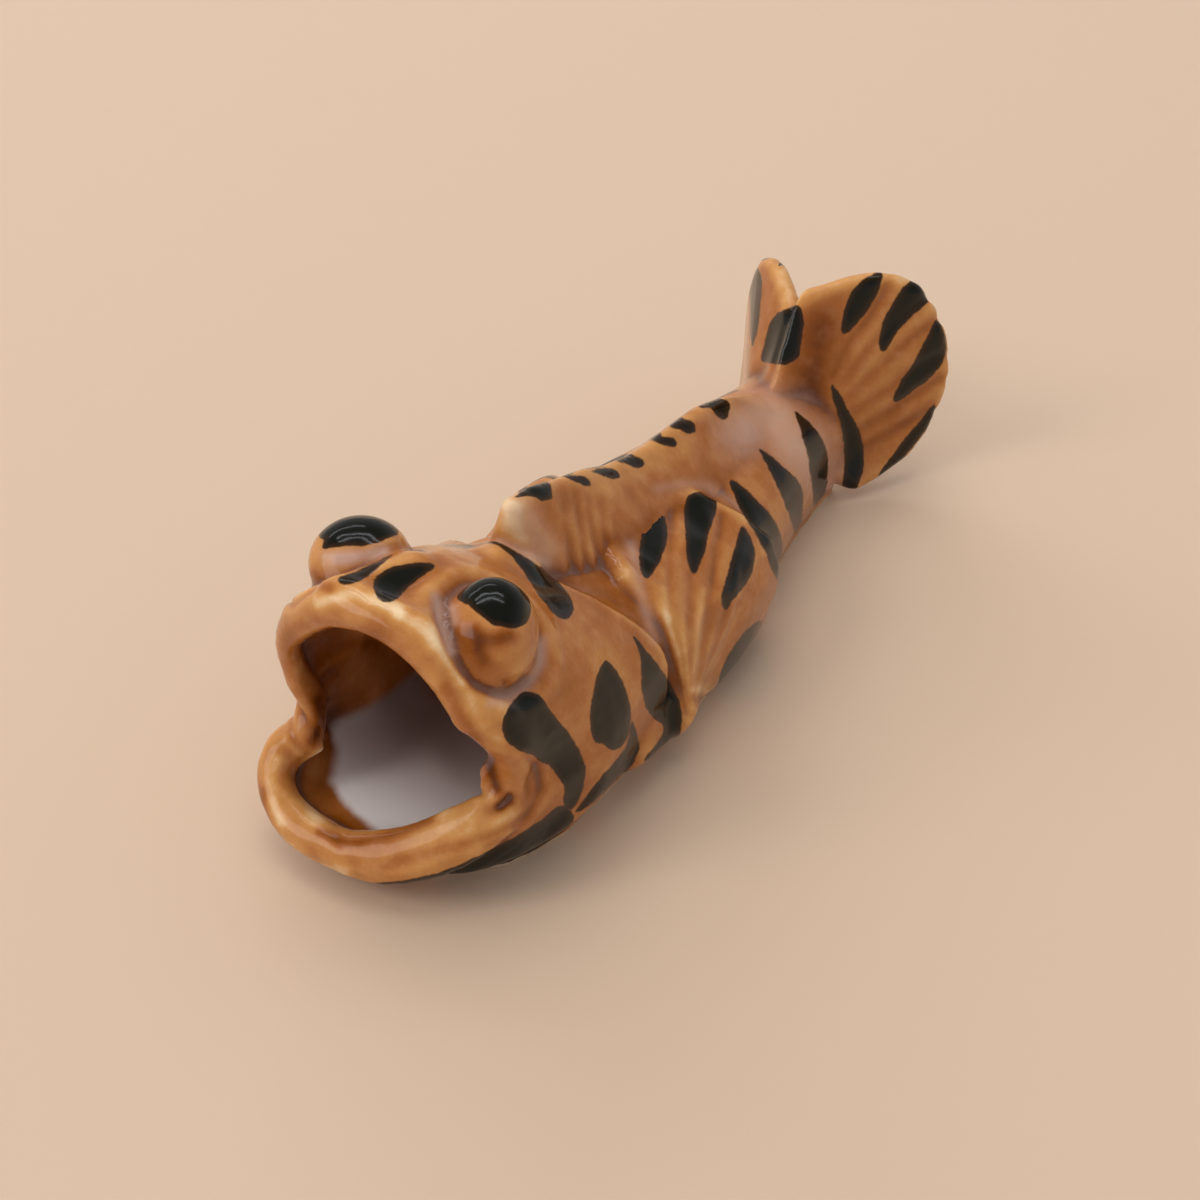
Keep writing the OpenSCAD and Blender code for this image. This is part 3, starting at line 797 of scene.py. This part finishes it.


# glossy amber glaze that breaks pale on crests and pools dark amber, with painted shade and a lilac painted
# reflection in its grooves, painted sheen, highlights and shade in places, under brushed black marks, with
# white glaze in the throat that greys inward as painted shade, and dull bare clay at the foot
def stoneware(name):
    material, tree = newTree(name)
    place = add(tree, "TexCoord").outputs["Object"]

    rule = glazeRules

    def noise(size, detail=rule["detail"]):
        values = {
            "Vector": place, "Scale": 1 / (size * mm), "Detail": detail, "Roughness": rule["noiseRough"]}
        return add(tree, "TexNoise", None, values).outputs["Fac"]

    def number(operation, a, b=0.0, c=0.0, clamp=False):
        return add(tree, "Math", {"operation": operation, "use_clamp": clamp}, {0: a, 1: b, 2: c}).outputs[0]

    def swing(value, much, base):  # a 0 to 1 pattern swung about a base value
        return number("MULTIPLY_ADD", number("SUBTRACT", value, 0.5), much, base)

    def spread(value, low, high):
        settings = {"interpolation_type": "SMOOTHSTEP", "clamp": True}
        return add(tree, "MapRange", settings, {0: value, 1: low, 2: high}).outputs[0]

    def mixed(share, a, b):
        return add(tree, "Mix", {"data_type": "RGBA"}, {0: share, 6: a, 7: b}).outputs[2]

    laid = {key: add(tree, "Attribute", {"attribute_name": key}).outputs["Fac"] for key in cover}
    cloud, patch = noise(glazeSizes["cloud"]), noise(glazeSizes["patch"])
    grain = noise(glazeSizes["grain"], rule["fineDetail"])
    hollow = number("MINIMUM", laid["swell"], 0.0)
    thin = number("MULTIPLY_ADD", hollow, rule["hollow"], rule["plain"])
    thin = number("MULTIPLY_ADD", laid["crest"], rule["crest"], thin)
    thin = swing(patch, rule["patch"], swing(cloud, rule["cloud"], thin))
    thin = number("ADD", laid["washAndPaintedLight"], swing(grain, rule["grain"], thin))
    ramp = add(tree, "ValToRGB", None, {"Fac": thin})
    stops = glazeTones["amberStops"]
    ramp.color_ramp.elements[0].position, ramp.color_ramp.elements[1].position = stops[0], stops[-1]
    for at in stops[1:-1]:
        ramp.color_ramp.elements.new(at)
    for element, code in zip(ramp.color_ramp.elements, glazeTones["amber"]):
        element.color = tone(code)
    # painted shade with a lilac painted reflection of the sky, mixed into the grooves
    sunk = number("MULTIPLY", laid["crest"], -1.0)
    grooveShade = number("MULTIPLY", spread(sunk, *rule["grooveShadeFrom"]), rule["grooveShade"])
    colour = mixed(grooveShade, ramp.outputs["Color"], tone(glazeTones["grooveShade"]))
    # painted sheen: pale reflections laid over the glaze along its strokes, and faintly at random
    colour = mixed(swing(patch, rule["paintedSheen"], laid["paintedSheen"]), colour, tone(glazeTones["paintedSheen"]))
    white = spread(swing(noise(glazeSizes["whiteEdge"]), rule["whiteSwing"], laid["white"]), *rule["white"])
    # the white greys inward, painted shade of the throat
    pale = mixed(spread(laid["throatShade"], 0.0, 1.0), tone(glazeTones["white"]), tone(glazeTones["whiteInShade"]))
    colour = mixed(white, colour, pale)
    stroke = swing(noise(glazeSizes["brushEdge"]), rule["inkSwing"], laid["brush"])
    inkTone = mixed(spread(stroke, *rule["inkThin"]), tone(glazeTones["inkThin"]), tone(glazeTones["ink"]))
    colour = mixed(spread(stroke, *rule["inkEdge"]), colour, inkTone)
    bare = spread(swing(noise(glazeSizes["footEdge"]), rule["bareSwing"], laid["foot"]), *rule["bareEdge"])
    colour = mixed(bare, colour, mixed(grain, tone(glazeTones["bareDark"]), tone(glazeTones["bare"])))

    rough = number("MULTIPLY_ADD", bare, rule["bareRough"], swing(patch, rule["roughSwing"], rule["rough"]))
    peel = noise(glazeSizes["peel"], rule["fineDetail"])
    height = number("MULTIPLY_ADD", peel, rule["peel"], number("MULTIPLY", grain, bare))
    bump = add(tree, "Bump", None, {
        "Strength": rule["bump"], "Distance": rule["bumpDepth"] * mm, "Height": height})
    shader = add(tree, "BsdfPrincipled", None, {
        "Base Color": colour, "Roughness": rough, "Normal": bump.outputs["Normal"], "IOR": rule["ior"]})
    add(tree, "OutputMaterial", None, {"Surface": shader.outputs[0]})
    return material


# the pieces, one for each node of the frame
shellDepth = 0.35  # mm that each piece's skin goes in, so that its mesh is closed


def layPiece(name, index, material):  # the skin of one node's clay, closed behind by a copy of itself
    quads = clay["quads"][clay["owner"][clay["quads"][:, 0]] == index]
    used, packed = np.unique(quads, return_inverse=True)
    packed, count = packed.reshape(-1, 4), len(used)
    sides = np.concatenate([np.roll(packed, -k, 1)[:, :2] for k in range(4)])
    border = sides[~np.isin(sides[:, 0] * count + sides[:, 1], sides[:, 1] * count + sides[:, 0])]
    a, b = border.T
    rim = np.stack([b, a, a + count, b + count], 1)
    outside, along = clay["points"][used], normals[used]
    points = np.vstack([outside, outside - along * shellDepth])
    mesh = meshOf(name, points * mm, np.vstack([packed, packed[:, ::-1] + count, rim]))
    mesh.polygons.foreach_set("use_smooth", np.ones(len(mesh.polygons), dtype=bool))
    mesh.normals_split_custom_set_from_vertices(np.vstack([along, -along]).tolist())
    for key, values in cover.items():
        layer = mesh.attributes.new(key, "FLOAT", "POINT")
        layer.data.foreach_set("value", np.tile(values[used], 2).astype(np.float32))
    mesh.materials.append(material)
    piece = bpy.data.objects.new(name, mesh)
    bpy.context.scene.collection.objects.link(piece)
    print(name, len(mesh.polygons), "faces")
    return piece


glazedStoneware = stoneware("glazedStoneware")
pieceTitles = {
    "head_shell": "head", "lip_coil": "lip", "body_shell": "body", "foot_plate": "foot",
    "eyeball_left": "eyeLeft", "eyeball_right": "eyeRight", "dorsal_fin": "dorsalFin",
    "pectoral_fin_left": "pectoralFinLeft", "pectoral_fin_right": "pectoralFinRight",
    "tail_lobe_left": "tailLobeLeft", "tail_lobe_right": "tailLobeRight",
}
for index, node in enumerate(pieceNames):
    piece = layPiece(pieceTitles[node], index, glazedStoneware)
    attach(piece, "root")
    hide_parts(node)
print("pieces laid")


# floor, sky and lamps
roomSet = {
    "floorSize": 3.0,  # m from the middle to the edge
    "floorTone": "#D3BAA0", "floorRough": 0.8,
    "skyTone": "#F2EFF2", "skyLight": 0.68,
    "skyInGlaze": (0.5, 0.2), "skyFade": 0.7,  # at the horizon and above this height of direction
}
# direction, distance and size in m, watts, tone, whether it lights surfaces and whether the glaze mirrors it
lamps = {
    "window": ((-0.775, 0.48, 0.42), 1.0, (0.9, 0.16), 3.2, "#F6F8FF", True, False),
    "windowTop": ((-0.70, 0.44, 0.66), 1.0, (0.9, 0.05), 0.5, "#F6F8FF", False, True),
    "slatFar": ((-0.30, 0.30, 0.93), 1.0, (1.1, 0.06), 1.15, "#F6F8FF", False, True),
    "slatNear": ((-0.14, 0.13, 0.98), 1.0, (1.1, 0.06), 1.15, "#F6F8FF", False, True),
    "doorway": ((-0.54, -0.76, 0.38), 1.2, (0.80, 0.70), 4.2, "#FFFFFF", False, True),
    "front": ((-0.42, -0.62, 0.66), 1.5, (0.5, 0.5), 5.5, "#FFFBF5", True, False),
    "ceiling": ((-0.15, 0.1, 1.0), 1.7, (1.2, 1.2), 8.5, "#FFFBF5", True, False),
}


def makeFloor():  # dull and pale, so that it takes the soft shadow and gives no reflection
    size = roomSet["floorSize"]
    mesh = bpy.data.meshes.new("floor")
    corners = [(-size, -size, 0), (size, -size, 0), (size, size, 0), (-size, size, 0)]
    mesh.from_pydata(corners, [], [range(4)])
    floor = bpy.data.objects.new("floor", mesh)
    bpy.context.scene.collection.objects.link(floor)
    material, tree = newTree("paleFloor")
    shader = add(tree, "BsdfPrincipled", None, {
        "Base Color": tone(roomSet["floorTone"]), "Roughness": roomSet["floorRough"]})
    add(tree, "OutputMaterial", None, {"Surface": shader.outputs[0]})
    mesh.materials.append(material)


# the long side of a lamp lies level in the picture
def areaLamp(name, toward, distance, size, power, colour, lights, mirrored):
    lamp = bpy.data.lights.new(name, "AREA")
    lamp.shape, lamp.size, lamp.size_y, lamp.energy = "RECTANGLE", size[0], size[1], power
    lamp.color = tone(colour)[:3]
    holder = bpy.data.objects.new(name, lamp)
    bpy.context.scene.collection.objects.link(holder)
    holder.visible_diffuse, holder.visible_glossy = lights, mirrored
    away, right = Vector(toward).normalized(), Vector(pictureAxes(cameraSet)[1])
    side = (right - away * away.dot(right)).normalized()
    holder.location = away * distance
    holder.rotation_mode = "QUATERNION"
    holder.rotation_quaternion = Matrix((side, away.cross(side), away)).transposed().to_quaternion()


def makeSky():  # even light for the surfaces, dimmer where the glaze mirrors it
    world = bpy.data.worlds.new("room")
    world.use_nodes = True
    tree = world.node_tree
    tree.nodes.clear()
    glossy = add(tree, "LightPath").outputs["Is Glossy Ray"]
    way = add(tree, "SeparateXYZ", None, {0: add(tree, "TexCoord").outputs["Generated"]}).outputs["Z"]
    low, high = roomSet["skyInGlaze"]
    seen = add(tree, "MapRange", None, {0: way, 1: 0.0, 2: roomSet["skyFade"], 3: low, 4: high}).outputs[0]
    strength = add(tree, "MapRange", None, {0: glossy, 3: roomSet["skyLight"], 4: seen})
    sky = add(tree, "Background", None, {"Color": tone(roomSet["skyTone"]), "Strength": strength.outputs[0]})
    add(tree, "OutputWorld", None, {"Surface": sky.outputs[0]})
    bpy.context.scene.world = world


makeFloor()
makeSky()
for lampName, settings in lamps.items():
    areaLamp(lampName, *settings)
bpy.context.scene.view_settings.view_transform = "Standard"
print("lit")
